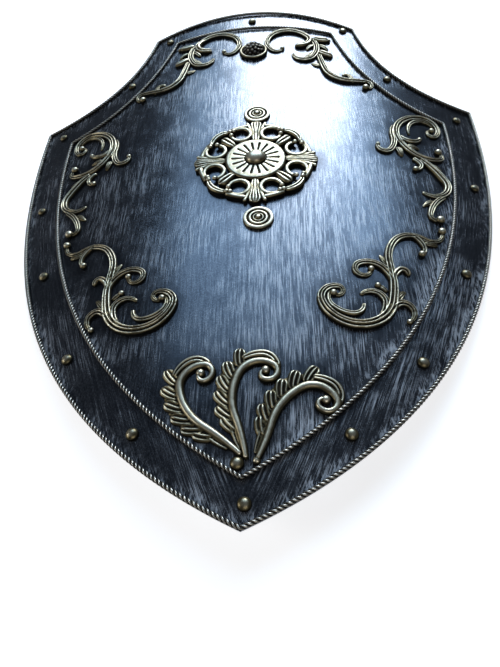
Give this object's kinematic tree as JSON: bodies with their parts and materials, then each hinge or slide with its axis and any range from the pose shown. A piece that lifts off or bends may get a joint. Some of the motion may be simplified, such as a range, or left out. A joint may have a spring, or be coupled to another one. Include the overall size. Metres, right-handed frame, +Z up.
{
  "type": "heater shield",
  "caption": "Decorative heater shield: a bent dark iron sheet with twisted-wire borders, dome rivets, cast scroll ornaments, a central roundel and curled plumes at the tip.",
  "frame": {"origin": "under the middle of the shield's extent, on the surface it lies on", "axes": "+X to the right across the face, +Y along the shield to its top edge, +Z up out of the face as it lies face up"},
  "size_m": [0.451, 0.5888, 0.0575],
  "materials": {
    "iron_sheet": "dark iron, dry-brushed silver along the shield",
    "twisted_wire": "blackened twisted wire, rubbed bright on top",
    "antique_brass": "antique brass, dark recesses and rubbed highlights",
    "dark_bronze": "blackened casting, rubbed on the knobs"
  },
  "bodies": {
    "root": {"shield_plate": "iron_sheet", "rim_rope": "twisted_wire", "border_rope": "twisted_wire", "rivet_01": "antique_brass", "rivet_02": "antique_brass", "rivet_03": "antique_brass", "rivet_04": "antique_brass", "rivet_05": "antique_brass", "rivet_06": "antique_brass", "rivet_07": "antique_brass", "rivet_08": "antique_brass", "rivet_09": "antique_brass", "rivet_10": "antique_brass", "rivet_11": "antique_brass", "rivet_12": "antique_brass", "rivet_13": "antique_brass", "rivet_14": "antique_brass", "rivet_15": "antique_brass", "rivet_16": "antique_brass", "rivet_17": "antique_brass", "roundel": "antique_brass", "disc_upper": "antique_brass", "disc_lower": "antique_brass", "crest_ring": "antique_brass", "crest_boss": "dark_bronze", "crest_scroll_right": "antique_brass", "crest_scroll_left": "antique_brass", "upper_scroll_right": "antique_brass", "upper_scroll_left": "antique_brass", "lower_scroll_right": "antique_brass", "lower_scroll_left": "antique_brass", "plume_left": "antique_brass", "plume_middle": "antique_brass", "plume_right": "antique_brass"}
  },
  "joints": []
}
